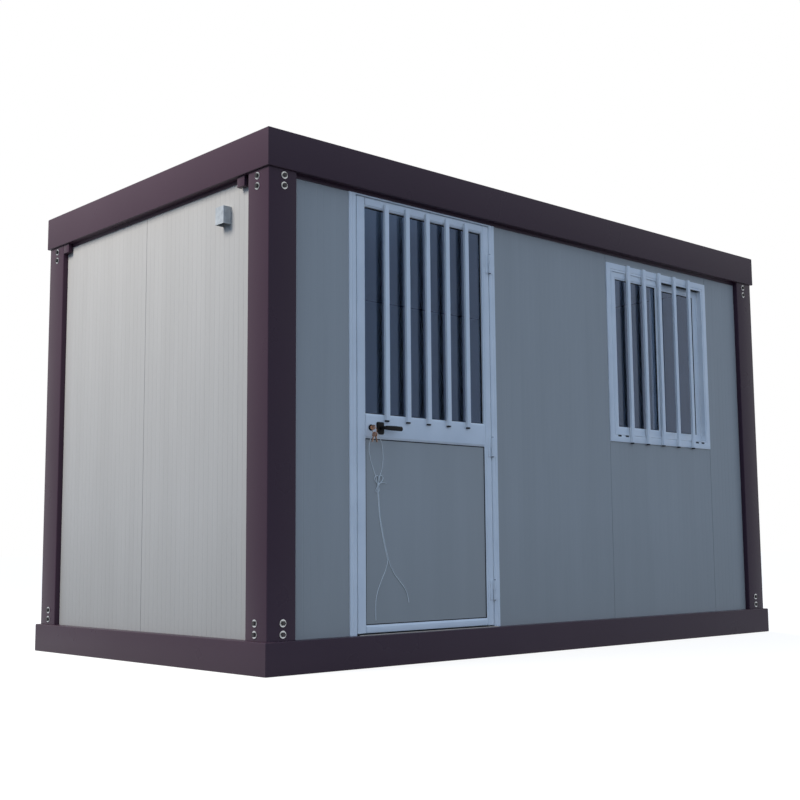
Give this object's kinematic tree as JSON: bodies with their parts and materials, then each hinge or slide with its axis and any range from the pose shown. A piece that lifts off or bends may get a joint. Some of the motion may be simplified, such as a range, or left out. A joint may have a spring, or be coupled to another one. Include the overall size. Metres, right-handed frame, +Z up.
{
  "type": "portable office cabin",
  "caption": "Flat-roofed portable office cabin on a steel frame, with grey panel walls, a barred outward-opening door and a barred sliding window.",
  "frame": {"origin": "centre of the base frame's footprint, at ground level", "axes": "+X along the front wall from the door end to the window end, +Y from the front wall towards the back wall, +Z up; the door and window face -Y"},
  "size_m": [4, 2.152, 2.45],
  "materials": {
    "frame_paint": "satin coil-coated steel, dark aubergine",
    "wall_panel": "pre-painted steel facing, light grey",
    "galvanised_steel": "hot-dip galvanised",
    "floor_board": "coated plywood",
    "white_aluminium": "white powder coat",
    "window_glass": "clear float glass",
    "black_handle": "black moulded",
    "key_brass": "worn",
    "white_string": "twisted cotton",
    "threshold_strip": "mill finish, soiled"
  },
  "bodies": {
    "cabin": {"base_beam_front": "frame_paint", "base_beam_back": "frame_paint", "base_beam_left": "frame_paint", "base_beam_right": "frame_paint", "floor_joists": "galvanised_steel", "floor_board": "floor_board", "roof_beam_front": "frame_paint", "roof_beam_back": "frame_paint", "roof_beam_left": "frame_paint", "roof_beam_right": "frame_paint", "roof_sheet": "galvanised_steel", "ceiling_panel": "wall_panel", "roof_lugs": "frame_paint", "post_front_left": "frame_paint", "post_front_right": "frame_paint", "post_back_left": "frame_paint", "post_back_right": "frame_paint", "front_panel_left": "wall_panel", "front_panel_middle": "wall_panel", "front_panel_under_window": "wall_panel", "front_panel_over_window": "wall_panel", "front_panel_right": "wall_panel", "left_panel_front": "wall_panel", "left_panel_back": "wall_panel", "right_panels": "wall_panel", "back_panels": "wall_panel", "door_jambs": "white_aluminium", "door_head": "white_aluminium", "door_threshold": "threshold_strip", "jamb_hinges": "white_aluminium", "window_frame": "white_aluminium", "window_sash_left": "white_aluminium", "window_sash_right": "white_aluminium", "window_panes": "window_glass", "window_bars": "white_aluminium", "cable_cowl": "galvanised_steel"},
    "door": {"leaf_stiles": "white_aluminium", "leaf_rails": "white_aluminium", "leaf_glass": "window_glass", "leaf_infill": "wall_panel", "leaf_bars": "white_aluminium", "leaf_hinges": "white_aluminium", "handle_plates": "black_handle", "door_keys": "key_brass", "key_string_long": "white_string", "key_string_short": "white_string"},
    "door_handle": {"door_lever": "black_handle"}
  },
  "joints": [
    {"name": "door_hinge", "type": "hinge", "parent": "cabin", "child": "door", "pos_m": [-0.522, -1.039, 1.067], "axis": [0, 0, 1], "range_deg": [0, 150]},
    {"name": "lever_turn", "type": "hinge", "parent": "door", "child": "door_handle", "pos_m": [-1.298, -1.039, 1.119], "axis": [0, 1, 0], "range_deg": [0, 40], "stiffness_Nm_per_rad": 2, "springref_deg": -20.05}
  ]
}
